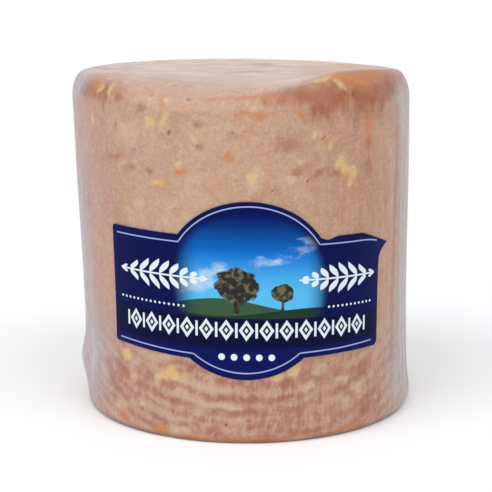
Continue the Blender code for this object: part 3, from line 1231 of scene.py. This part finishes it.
@dataclass(frozen=True)
class PrintFinish:
    """The label's print: navy with a pale line, a sky over hills with two trees, and white ornaments.

    Places are in millimetres from the label's middle, as in the label's own sizes.
    """

    navy: Colour = lit(8, 18, 80)
    band: Colour = lit(10, 14, 58)
    margin: Colour = lit(12, 22, 92)
    line: Colour = lit(168, 184, 230)
    white: Colour = lit(238, 246, 255)
    sky_deep: Colour = lit(2, 20, 98)
    sky_mid: Colour = lit(10, 124, 222)
    sky_low: Colour = lit(92, 196, 248)
    cloud: Colour = lit(198, 224, 248)
    tree: Colour = lit(50, 48, 44)
    leaf: Colour = lit(128, 126, 98)
    far_hill: Colour = lit(62, 92, 66)
    hill: Colour = lit(38, 60, 44)
    crest: Round = Round(2.5, 3.1, 37.9)
    belly: Round = Round(0.7, 4.9, 39.2)
    sprigs: tuple[Sprig, ...] = (Sprig(-61, -16), Sprig(66, 25))
    lozenges: Lozenges = Lozenges()
    dots: tuple[DotRow, ...] = (
        DotRow(-62, -26, -5.2),
        DotRow(38.4, 64.8, -5.0),
        DotRow(-12.5, 15.5, -27.0, 5.6, 1.5),
    )
    trees: tuple[Tree, ...] = (Tree(-3.0, 5.4, 1.0), Tree(17.5, 2.4, 0.5))
    far_crest: Hill = Hill(-3.4, 3.0, 0.08, 2.4)
    near_crest: Hill = Hill(-6.6, 1.8, 0.07, -0.6)
    puffs: Blots = Blots(0.009, detail=5, rough=0.62, stretch=(0.6, 0.6, 1.3))
    cloud_slope: float = 0.35
    cloud_middle: float = 13
    cloud_half: float = 7
    cloud_soft: float = 6
    cloud_share: float = 0.9
    leaves: Mottle = Mottle(Blots(0.0016, detail=3), 0.46, 0.64, 0.7)
    horizon: float = -9.3
    top_line: float = 23.7
    low_line: float = -24.2
    line_half: float = 0.29
    line_soft: float = 0.1
    bow: float = 2.5
    bow_along: float = -14
    bow_reach: float = 45
    relief: float = 0.0003
    gloss: float = 0.05

    def material(self, low: Span, high: Span) -> bpy.types.Material:
        """Builds the material.

        Args:
            low: the label's place, in millimetres, at the UV map's 0.
            high: the label's place, in millimetres, at the UV map's 1.

        Returns:
            The material.
        """
        make = Finish("label_print_finish")
        flat = make.node("UVMap").outputs["UV"]
        u, v, _ = make.axes(flat)
        x = u * (high[0] - low[0]) + low[0]
        y = v * (high[1] - low[1]) + low[1]
        colour = self._sky(make, x, y, self._ground(make, x, y))
        colour = make.mix(self._ornament(x, y), colour, self.white)
        colour = make.mix(self._line(x, y), colour, self.line)
        shader = make.node(
            "BsdfPrincipled",
            Base_Color=colour,
            Roughness=make.noise(0.004).ramp(0.2, 0.8) * 0.08 + 0.32,
            Normal=make.bump(make.noise(0.009, detail=2), self.relief),
        )
        shader.inputs["Specular IOR Level"].default_value = self.gloss
        return make.show(shader)

    def _over_bow(self, x: Field, y: Field) -> Field:
        """The height of a place plus how far the label's lower edge bows down under it."""
        return y + x.bell(self.bow_along, self.bow_reach) * self.bow

    def _ground(self, make: Finish, x: Field, y: Field) -> Socket:
        """Navy, with a brighter margin and a darker band over the bowed lower margin."""
        over_bow = self._over_bow(x, y)
        colour = make.mix(over_bow.below(-21.7, 0.8), self.navy, self.margin)
        band = over_bow.ramp(-22.1, -21.3) * y.ramp(-22.9, -22.3) * y.below(self.horizon, 0.5)
        colour = make.mix(band, colour, self.band)
        return make.mix(abs(x - 1.5).ramp(64.5, 66.5) * 0.6, colour, self.margin)

    def _sky(self, make: Finish, x: Field, y: Field, colour: Socket) -> Socket:
        """A sky that fades into the navy at its sides and arch, over two rolling hills, with two round trees.

        Args:
            make: the material under construction.
            x: the place along the label in millimetres.
            y: the place up the label.
            colour: the colour under the sky.

        Returns:
            The colour with the sky and what stands in it.
        """
        sky = make.mix(y.ramp(39, 12), self.sky_deep, self.sky_mid)
        sky = make.mix(y.ramp(23, 0), sky, self.sky_low)
        belt = abs(y - x * self.cloud_slope - self.cloud_middle).below(self.cloud_half, self.cloud_soft)
        clouds = (self.puffs.on(make) + (belt - 1) * 0.3).ramp(0.44, 0.62)
        sky = make.mix(clouds * self.cloud_share, sky, self.cloud)
        sky = make.mix(self.far_crest.on(x, y), sky, self.far_hill)
        crown = make.mix(self.leaves.on(make), self.tree, self.leaf)
        greater, lesser = (tree.on(make, x, y) for tree in self.trees)
        sky = make.mix(greater.at_least(lesser), sky, crown)
        sky = make.mix(self.near_crest.on(x, y), sky, self.hill)
        arch = self.crest.out(x, y).ramp(38.0, 32.5)
        inside = abs(x - 4).ramp(37, 23) * arch * y.ramp(self.horizon - 0.2, self.horizon + 0.2)
        return make.mix(inside, colour, sky)

    def _ornament(self, x: Field, y: Field) -> Field:
        """1 on any of the white ornaments: the chain, the sprigs and the dots."""
        white = self.lozenges.on(x, y)
        for motif in (*self.sprigs, *self.dots):
            white = white.at_least(motif.on(x, y))
        return white

    def _line(self, x: Field, y: Field) -> Field:
        """The pale line inside the edge: arcs round the crest and the belly, level lines beside them."""
        half = self.line_half
        soft = self.line_soft
        past = (x - 57).at_least(0) / 12.7
        top = abs(y - self.top_line + past * past * 1.7).below(half, soft)
        over_low = self._over_bow(x, y) - self.low_line - (x - 45).at_least(0) * 0.035
        low = abs(over_low).below(half, soft)
        top = top * abs(x - 2.7).ramp(31.6, 32.2) * x.within(-63.4, 67.5, 0.1)
        low = low * abs(x - 1.45).ramp(23.9, 24.5) * x.within(-63.1, 64.8, 0.1)
        crest = self.crest.line(x, y, half, soft) * y.ramp(23.4, 23.9)
        belly = self.belly.line(x, y, half, soft) * over_low.ramp(0.35, -0.15)
        return top.at_least(low).at_least(crest).at_least(belly)


@dataclass
class Meat:
    """The block of meat, just inside the film, with a low relief and its placed and scattered marks."""

    block: Block
    finish: MeatFinish
    inset: float = 0.00034
    broad_relief: float = 0.00010
    fine_relief: float = 0.00003
    pore_depth: float = 0.0002
    broad_size: float = 0.024
    fine_size: float = 0.005
    warp: float = 0.0008
    warp_size: float = 0.006
    rim_step: float = 0.002
    columns: int = 420
    wall_rows: int = 150

    def marks(self) -> dict[Tone, tuple[Mark, ...]]:
        """The marks by tone: those that show at the front, listed one by one, and seeded ones elsewhere."""
        fat = (
            Mark(-73, 158, 3, 2.2), Mark(-67, 154.5, 5.4, 2.8, 85), Mark(-75, 155, 5, 3, 80),
            Mark(-60, 158, 2.2, 1.6), Mark(-42, 153.5, 2.6, 2, 20), Mark(-34, 153, 2.2, 1.8),
            Mark(-35, 144, 7, 3.4, 72), Mark(-42.5, 143.5, 5, 2.8, -25), Mark(-80, 141.5, 3.6, 2.2, 90),
            Mark(-21, 137.5, 2.6, 2.4), Mark(-28, 126, 3.6, 2.6, 60), Mark(-39, 117, 5, 3, 15),
            Mark(45, 126, 3.8, 3, 60), Mark(49, 122.5, 4.4, 3.4, 80), Mark(53, 121, 5.6, 2.8, 80),
            Mark(51, 116, 3.8, 3.2, 90), Mark(48, 156.6, 5, 3.2, -50), Mark(40, 159, 8, 2.2, 0),
            Mark(32.5, 138, 4.6, 1.8, 88), Mark(41, 133.5, 3.8, 1.8, 70), Mark(26, 127, 1.6, 1.5),
            Mark(5, 121.5, 4.4, 3, 70), Mark(-34, 31, 12, 4, -8), Mark(-41, 29, 5, 3, 20),
            Mark(22.5, 35, 7.5, 3.6, 75), Mark(14.5, 31, 4.4, 3), Mark(-62, 35.5, 4.4, 3.6),
            Mark(-12, 33, 3, 2),
        )
        cream = (
            Mark(-60, 159.5, 13, 2.6, 0), Mark(-56, 137, 13, 8, 0), Mark(-49.5, 107.5, 5, 3),
            Mark(22, 119.5, 8, 3.6), Mark(5, 119, 10, 4, 80), Mark(37, 160.5, 16, 3, 0),
            Mark(47, 27, 6.5, 3.4), Mark(57, 22, 6, 4.4), Mark(49, 15, 4.4, 5), Mark(29, 26, 8, 3),
            Mark(35, 33, 6, 4), Mark(-43.5, 27, 5.5, 3.4), Mark(-56, 25, 5, 3, -30),
            Mark(-50.5, 15, 6, 4), Mark(-66, 11, 7, 5), Mark(-58, 13, 5, 3, -20), Mark(-30, 6, 10, 3, -6),
            Mark(46, 126, 8, 5, -40), Mark(-10, 17.5, 16, 2, -6),
        )
        rust = (
            Mark(-79, 156, 10, 7, 0), Mark(-26.5, 159, 3, 2.6), Mark(-36, 152, 5, 3, -55),
            Mark(-42, 155, 3.4, 2.4), Mark(2, 155.5, 30, 3, 0), Mark(6, 148, 18, 2.6, -4),
            Mark(54, 157.5, 12, 6, 0), Mark(62, 155, 9, 7, -10), Mark(72, 158, 12, 6, 0),
            Mark(98, 157, 12, 5, 0), Mark(44, 159, 14, 4, 0), Mark(50, 163, 16, 5, 0),
            Mark(62, 164, 16, 7, 0), Mark(76, 163, 16, 6, 0), Mark(94, 163, 18, 7, 0),
            Mark(26.5, 148, 9, 2.4, -60), Mark(-5.5, 130, 5, 4), Mark(-28, 123, 5, 4),
            Mark(-38, 116, 6, 5), Mark(63, 140, 6, 9), Mark(-24.5, 2.5, 12, 2.4, 0),
            Mark(-42, 4.5, 8, 3.6, -4), Mark(-66, 5.5, 5, 3.4), Mark(2, 2, 50, 2.4, 0),
            Mark(50, 4, 20, 3, 0),
        )
        stain = (
            Mark(30, 154, 30, 8, 0), Mark(46, 153, 34, 13, 0), Mark(63, 151, 30, 14, 0),
            Mark(36, 149, 14, 9, -30), Mark(84, 154, 16, 9, 0), Mark(-77, 154.5, 24, 8, 0),
        )
        orange = (
            Mark(51, 159.5, 7, 4.4, 10), Mark(59, 157, 8, 4, -20), Mark(67, 159, 6, 2.4, 0),
            Mark(-73, 123, 3.4, 1.8, 65), Mark(-77, 156, 4, 2.4, 80), Mark(48.5, 120.5, 2.6, 2.4),
            Mark(38.5, 135, 1.8, 1.8), Mark(-6, 130, 2.6, 2), Mark(-26.5, 159, 1.8, 1.6),
            Mark(-35.5, 152, 2.8, 1.2, -55), Mark(-42, 4, 4.5, 1.8, -6),
        )
        red = (
            Mark(-70, 149, 12, 1.8, 88), Mark(-60, 152, 4.4, 3.6), Mark(-46, 149.5, 5, 3.6, 90),
            Mark(-18.5, 144, 2.8, 2.8), Mark(-18, 134, 4.4, 2.6), Mark(-63, 127, 9, 2, 10),
            Mark(-53, 123, 4, 3.5), Mark(-43.5, 122.3, 4, 3.5), Mark(-42, 155, 2.4, 2),
            Mark(-87, 153, 8, 6, 0), Mark(-90, 102, 5, 5), Mark(34, 154.5, 15, 6, -8),
            Mark(24, 157, 14, 4, 6), Mark(40, 151, 9, 5, 90), Mark(60, 151.5, 8, 6, 90),
            Mark(74, 150, 13, 4.4, 88), Mark(20, 134, 11, 6.5, 0), Mark(25, 123.5, 4.4, 3),
            Mark(35, 122, 8, 3, 25), Mark(44, 121, 7, 2.4, -5), Mark(63.5, 133, 6, 5, 90),
            Mark(63, 123.5, 9, 4, 90), Mark(76, 105, 7, 2, 88), Mark(86, 90, 150, 3.5, 89),
            Mark(-64, 28, 8, 4.4, -50), Mark(-51, 32.5, 4.4, 3.2), Mark(-35, 36, 9, 2.2, -10),
            Mark(-25.5, 34, 4.6, 2.8, -20), Mark(-19.5, 33, 4.6, 2.8, -20),
            Mark(-12, 30.5, 5.5, 2.6, -25), Mark(-33, 26.5, 8, 1.8, -8), Mark(-26.5, 25.5, 4.6, 2.2, -10),
            Mark(-18, 22, 5.6, 3.2, -10), Mark(-10.5, 22, 5.4, 3, -8), Mark(-4, 21, 6.4, 2.4, -8),
            Mark(-32.5, 18, 19, 3, -12), Mark(-17, 14, 8, 1.4, -6), Mark(-6, 14, 8, 3.4, 0),
            Mark(-45, 9.5, 10, 2.6, -25), Mark(-24, 8, 4.6, 3), Mark(-14.5, 7.5, 7, 2.2),
            Mark(-76, 30, 6, 3.8, -40), Mark(-71, 22, 7, 3.4, -50), Mark(-65, 17, 10, 3.4, -35),
            Mark(19, 29, 6.6, 5), Mark(26, 28, 5, 4.6), Mark(35, 28.5, 8, 4.8, 10), Mark(44, 31.5, 6, 4),
            Mark(58, 30, 13, 5.4, 15), Mark(46.5, 22, 8, 4, -10), Mark(50, 19, 4.4, 4),
            Mark(3, 21.5, 4.6, 2.4), Mark(-2, 20.5, 4.6, 2.2), Mark(19, 21.5, 8, 1.8, 5),
            Mark(25, 21.5, 4.4, 2.4), Mark(0, 15, 2.8, 2.6), Mark(0.5, 11.5, 3, 2.2),
            Mark(8, 11, 3.4, 2.8), Mark(12, 11, 2.8, 2), Mark(18, 12, 3.4, 3.2), Mark(25, 14, 3.8, 3.4),
            Mark(31, 13, 4.4, 4), Mark(34, 9, 3.4, 3.2), Mark(45, 10, 9, 5, 10), Mark(59, 10.5, 5, 3.2),
            Mark(9, 5.5, 5.4, 2.8), Mark(15, 6, 4.4, 2.6), Mark(20, 5, 3.4, 3), Mark(28.5, 5, 4.4, 2.4),
            Mark(34, 5, 3.4, 2.4),
        )
        pore = tuple(
            Mark(along, up, size, size)
            for along, up, size in (
                (-62, 141, 1.7),
                (-51, 131, 1.8),
                (-32, 140, 2.1),
                (-4, 141, 1.6),
                (-19.5, 134.5, 1.2),
                (-89.5, 155.5, 1.6),
                (33.5, 147, 1.5),
                (37, 137, 1.2),
                (29, 119, 1.4),
                (14, 115, 1.3),
                (-10, 9, 1.7),
                (60, 145.5, 1.4),
                (0.5, 11.5, 1.4),
            )
        ) + (Mark(54, 152.5, 3.8, 2.2, -65), Mark(-34, 159, 2.6, 1.2), Mark(-23, 154, 3.4, 1.2))
        return {
            Tone.FAT: fat + scattered(11, 46, (2.5, 8), 0.5),
            Tone.CREAM: cream + scattered(12, 50, (4, 12), 0.45),
            Tone.RUST: rust + scattered(13, 26, (4, 12), 0.5),
            Tone.ORANGE: orange + scattered(16, 16, (2, 4), 0.6),
            Tone.STAIN: stain + scattered(17, 8, (14, 36), 0.45),
            Tone.RED: red + scattered(14, 70, (3, 10), 0.5),
            Tone.PORE: pore + scattered(15, 30, (1.6, 2.4), 0.9),
        }

    def build(self) -> bpy.types.Object:
        """Sets the skin in under the film, with broad and fine ripples and a pit at each pore.

        Returns:
            The meat, dressed.
        """
        skin = Skin.over(self.block, self.columns, self.wall_rows)
        warp = np.stack([ripple(skin.points, self.warp_size, seed) for seed in (21, 22, 23)], axis=-1)
        warped = skin.points + self.warp * warp
        near = {tone.value: nearness(self.block, warped, marks) for tone, marks in self.marks().items()}
        relief = self.broad_relief * ripple(skin.points, self.broad_size, 31)
        relief = relief + self.fine_relief * ripple(skin.points, self.fine_size, 32)
        pits = self.pore_depth * np.clip(2 * near[Tone.PORE.value] - 0.6, 0, 1)
        meat = skin.moved(relief - self.inset - pits)
        over_rim = np.clip((skin.ups - self.block.height) / self.rim_step + 0.5, 0, 1)
        top = np.broadcast_to(over_rim[:, None], skin.points.shape[:2])
        piece = meat.piece("ham_block", near | {Part.TOP.value: top})
        piece.data.materials.append(self.finish.material(self.block))
        return piece


@dataclass
class Film:
    """The clear film, shrunk on the block, with fine pleats down its right side and at its rim."""

    block: Block
    finish: FilmFinish
    wrinkle: float = 0.00003
    pleat: float = 0.00005
    pleat_size: float = 0.005
    pleat_stretch: float = 0.08
    wrinkle_size: float = 0.014
    foot_fade: float = 0.008
    rim_level: float = 0.72
    rim_level_fall: float = 0.40
    rim_fall_angle: float = math.radians(-40)
    columns: int = 360
    wall_rows: int = 110

    def marks(self) -> tuple[Mark, ...]:
        """Where the film looks milky, partly where it stands off the meat and partly as painted highlights on
        its pleats: down both edges, at the rims and the foot.
        """
        return (
            Mark(94, 140, 26, 7, 90), Mark(97, 108, 56, 11, 90), Mark(91, 151, 12, 9, 0),
            Mark(99, 56, 70, 16, 90), Mark(-101, 66, 70, 18, 90), Mark(-94, 26, 56, 34, 90),
            Mark(-97, 155, 16, 8, 0), Mark(94, 22, 44, 22, 90),
        )

    def build(self) -> bpy.types.Object:
        """Lays the film on the block, raised a little by upright pleats that fade towards the front.

        The pleats are ripples whose waves hardly change with height, so that they run upright. The rim is
        where the skin faces up past a level, which lies lower at the front, by a smooth step.

        Returns:
            The film, dressed.
        """
        skin = Skin.over(self.block, self.columns, self.wall_rows)
        upright = skin.points * np.array([1, 1, self.pleat_stretch])
        sideways = 1 - facing(skin.angles, 0.0)[None, :] ** 0.5
        on_wall = np.clip(skin.ups / self.foot_fade, 0, 1)[:, None]
        pleats = np.clip(ripple(upright, self.pleat_size, 41), 0, 1) * self.pleat * sideways
        wrinkles = ripple(skin.points, self.wrinkle_size, 42) * self.wrinkle
        film = skin.moved((pleats + wrinkles - self.wrinkle) * on_wall)
        # where the film is milky, partly standing off the meat and partly painted pleat highlights
        haze_and_highlight = nearness(self.block, skin.points, self.marks())
        level = self.rim_level - self.rim_level_fall * facing(skin.angles, self.rim_fall_angle)[None, :]
        upward = np.clip((skin.normals()[..., 2] - level) / (1 - level), 0, 1)
        rim = upward * upward * (3 - 2 * upward)
        piece = film.piece("film_skin", {Tone.HAZE_AND_HIGHLIGHT.value: haze_and_highlight, Part.RIM.value: rim})
        piece.data.materials.append(self.finish.material())
        return piece


@dataclass
class Label:
    """The label: a thin sheet on the front's curve, with a round crest and belly and one drawn-out corner."""

    block: Block
    finish: PrintFinish
    gap: float = 0.00012
    thickness: float = 0.00028
    turn: float = math.radians(-1.3)
    middle_height: float = 0.0675
    middle_along: float = -0.0004
    bend_radius: float = 0.0796
    left: float = -0.0663
    right: float = 0.0692
    top: float = 0.0270
    bottom: float = -0.0265
    bottom_bow: float = 0.0025
    bow_along: float = -0.014
    bow_reach: float = 0.045
    left_corner: float = 0.0015
    right_corner: float = 0.0026
    crest_along: float = 0.0025
    crest_up: float = 0.0031
    crest_radius: float = 0.040
    belly_along: float = 0.0007
    belly_up: float = 0.0049
    belly_radius: float = 0.0422
    notch_along: float = 0.0386
    notch_depth: float = 0.0015
    notch_reach: float = 0.0034
    shoulder_along: float = 0.057
    shoulder_drop: float = 0.0060
    shoulder_curve: float = 1.15
    tip_pull: float = 0.0069
    tip_along: float = 0.050
    tip_up: float = 0.006
    tip_curve: float = 4.5
    kink_steps: int = 8
    pitch: float = 0.0006
    rows: int = 80

    @staticmethod
    def corner_cut(from_end: Array, corner: float) -> Array:
        """How far a rounded corner draws an edge in: the corner less the height of its circle there."""
        short = np.clip(corner - from_end, 0, corner)
        return corner - np.sqrt(corner**2 - short**2)

    def upper_edge(self, along: Array) -> Array:
        """The upper edge: the greater of a level line with a notch and a falling shoulder, and a circle."""
        past = np.maximum((along - self.shoulder_along) / (self.right - self.shoulder_along), 0)
        level = self.top - self.notch_depth * bell(along, self.notch_along, self.notch_reach)
        level = level - self.shoulder_drop * past**self.shoulder_curve
        across = self.crest_radius**2 - (along - self.crest_along) ** 2
        crest = np.where(across > 0, self.crest_up + np.sqrt(np.maximum(across, 0)), self.bottom)
        return np.maximum(level, crest) - self.corner_cut(along - self.left, self.left_corner)

    def bowed_bottom(self, along: Array | float) -> Array:
        """The lower edge without its belly and corners: a level line less a bell."""
        return self.bottom - self.bottom_bow * bell(along, self.bow_along, self.bow_reach)

    def belly_kink(self, side: int) -> float:
        """Where the belly's circle meets the bowed edge on a side, -1 or 1, by stepping towards it."""
        along = self.belly_along
        for _ in range(self.kink_steps):
            drop = self.belly_up - float(self.bowed_bottom(along))
            along = self.belly_along + side * math.sqrt(self.belly_radius**2 - drop**2)
        return along

    def lower_edge(self, along: Array) -> Array:
        """The lower edge: the lesser of a bowed line and a circle, drawn in at both corners."""
        across = self.belly_radius**2 - (along - self.belly_along) ** 2
        belly = np.where(across > 0, self.belly_up - np.sqrt(np.maximum(across, 0)), self.top)
        left = self.corner_cut(along - self.left, self.left_corner)
        right = self.corner_cut(self.right - along, self.right_corner)
        return np.minimum(self.bowed_bottom(along), belly) + left + right

    def pulled(self, along: Array, up: Array) -> Array:
        """How far the upper right corner is drawn out: a square along the label times a power up it."""
        outward = np.maximum((along - self.tip_along) / (self.right - self.tip_along), 0)
        tip_top = self.top - self.shoulder_drop
        upward = np.clip((up - self.tip_up) / (tip_top - self.tip_up), 0, 1)
        return self.tip_pull * outward**2 * upward**self.tip_curve

    def columns(self) -> Array:
        """Places along the label: a pitch apart, closer in the round corners, and one at each kink."""
        crest_reach = math.sqrt(self.crest_radius**2 - (self.top - self.crest_up) ** 2)
        turns = np.linspace(0, math.pi / 2, 8)
        even = np.arange(self.left + self.left_corner, self.right - self.right_corner, self.pitch)
        kinks = [
            self.crest_along - crest_reach,
            self.crest_along + crest_reach,
            self.belly_kink(-1),
            self.belly_kink(1),
        ]
        left_turn = self.left + self.left_corner * (1 - np.cos(turns))
        right_turn = self.right - self.right_corner * (1 - np.sin(turns))
        return np.unique(np.round(np.concatenate([left_turn, even, kinks, right_turn]), 6))

    def lay(self, along: Array, up: Array) -> Array:
        """Lays a place on the label on the block's wall, a gap off it, with the label's small turn."""
        arc = self.middle_along + along * math.cos(self.turn) - up * math.sin(self.turn)
        height = self.middle_height + along * math.sin(self.turn) + up * math.cos(self.turn)
        angle = arc / self.bend_radius
        points = self.block.point(angle, np.full_like(angle, self.block.radius), height)
        out = np.stack([np.sin(angle), -np.cos(angle), np.zeros_like(angle)], axis=-1)
        return points + self.gap * out

    def build(self) -> bpy.types.Object:
        """Makes the sheet: a grid between its two edges, its corner drawn out, and a thickness outwards.

        Returns:
            The label, dressed.
        """
        along = self.columns()[None, :]
        low = self.lower_edge(along)
        share = np.linspace(0, 1, self.rows)[:, None]
        up = low + (self.upper_edge(along) - low) * share
        along = np.broadcast_to(along, up.shape)
        along = along + self.pulled(along, up)
        points = self.lay(along, up)
        rows, columns = up.shape
        index = np.arange(rows * columns).reshape(rows, columns)
        corners = [index[:-1, :-1], index[:-1, 1:], index[1:, 1:], index[1:, :-1]]
        faces = np.stack(corners, axis=-1).reshape(-1, 4)
        mesh = bpy.data.meshes.new("label_sheet")
        mesh.from_pydata(points.reshape(-1, 3).tolist(), [], faces.tolist())
        flat = np.stack([along, up], axis=-1)
        start = flat.min(axis=(0, 1))
        end = flat.max(axis=(0, 1))
        flat = (flat - start) / (end - start)
        layer = mesh.uv_layers.new(name="flat")
        layer.data.foreach_set("uv", flat.reshape(-1, 2)[faces.ravel()].astype(np.float32).ravel())
        mesh.shade_smooth()
        piece = bpy.data.objects.new("label_sheet", mesh)
        bpy.context.scene.collection.objects.link(piece)
        sheet = piece.modifiers.new("sheet_thickness", "SOLIDIFY")
        sheet.thickness = self.thickness
        sheet.offset = 1
        in_millimetres = [tuple(float(part / MM) for part in corner) for corner in (start, end)]
        mesh.materials.append(self.finish.material(*in_millimetres))
        return piece


@dataclass
class Studio:
    """A plain pale floor, soft white light from all round and from the front, and the camera."""

    floor_half: float = 40.0
    floor_drop: float = 0.00005
    floor_colour: Colour = (0.90, 0.90, 0.90)
    world_colour: Colour = (0.95, 0.97, 1.0)
    world_strength: float = 0.74
    sun_spread: float = math.radians(60)
    sun_height: float = math.radians(38)
    left_energy: float = 1.5
    left_turn: float = math.radians(-45)
    right_energy: float = 1.04
    right_turn: float = math.radians(40)
    camera_place: Triple = (0.0010, -0.7227, 0.2236)
    camera_pitch: float = math.radians(90 - 11.65)
    camera_lens: float = 110.34

    def build_floor(self) -> bpy.types.Object:
        """A wide flat floor, just under the ham."""
        sides = ((-1, -1), (1, -1), (1, 1), (-1, 1))
        corners = [(self.floor_half * x, self.floor_half * y, -self.floor_drop) for x, y in sides]
        mesh = bpy.data.meshes.new("studio_floor")
        mesh.from_pydata(corners, [], [(0, 1, 2, 3)])
        floor = bpy.data.objects.new("studio_floor", mesh)
        bpy.context.scene.collection.objects.link(floor)
        make = Finish("pale_floor")
        shade = make.mix(make.noise(0.4) * 0.02, self.floor_colour, (1, 1, 1))
        mesh.materials.append(make.show(make.node("BsdfDiffuse", Color=shade)))
        return floor

    def build_light(self) -> None:
        """White light from all round, and a broad soft lamp over each of the camera's shoulders."""
        world = bpy.data.worlds.new("soft_white")
        world.use_nodes = True
        background = world.node_tree.nodes["Background"]
        background.inputs["Color"].default_value = (*self.world_colour, 1)
        background.inputs["Strength"].default_value = self.world_strength
        bpy.context.scene.world = world
        self._lamp("soft_left", self.left_energy, self.left_turn)
        self._lamp("soft_right", self.right_energy, self.right_turn)

    def _lamp(self, name: str, energy: float, turn: float) -> bpy.types.Object:
        """A far lamp with a wide spread, turned that far round from the front."""
        lamp = bpy.data.lights.new(name, "SUN")
        lamp.energy = energy
        lamp.angle = self.sun_spread
        piece = bpy.data.objects.new(name, lamp)
        piece.rotation_euler = (math.pi / 2 - self.sun_height, 0, turn)
        bpy.context.scene.collection.objects.link(piece)
        return piece

    def build_camera(self) -> bpy.types.Object:
        """The camera at the photograph's place and angle, with plain colours."""
        lens = bpy.data.cameras.new("camera")
        lens.lens = self.camera_lens
        camera = bpy.data.objects.new("camera", lens)
        camera.location = self.camera_place
        camera.rotation_euler = (self.camera_pitch, 0, 0)
        bpy.context.scene.collection.objects.link(camera)
        bpy.context.scene.camera = camera
        bpy.context.scene.view_settings.view_transform = "Standard"
        return camera


def add(piece: bpy.types.Object, node: str) -> None:
    """Ties a piece to the frame: it rides on the one body and stands for a node, whose imported piece is
    hidden.
    """
    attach(piece, "root")
    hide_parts(node)
    log.info("%s: %d faces, stands for %s", piece.name, len(piece.data.polygons), node)


def main() -> None:
    """Builds the studio and each piece in order, and ties the pieces to the frame."""
    logging.basicConfig(level=logging.INFO, format="%(name)s %(message)s")
    studio = Studio()
    studio.build_camera()
    studio.build_light()
    studio.build_floor()
    block = Block()
    add(Meat(block, MeatFinish()).build(), "ham_pack")
    add(Film(block, FilmFinish()).build(), "ham_pack")
    add(Label(block, PrintFinish()).build(), "label")


if __name__ == "__main__":
    main()
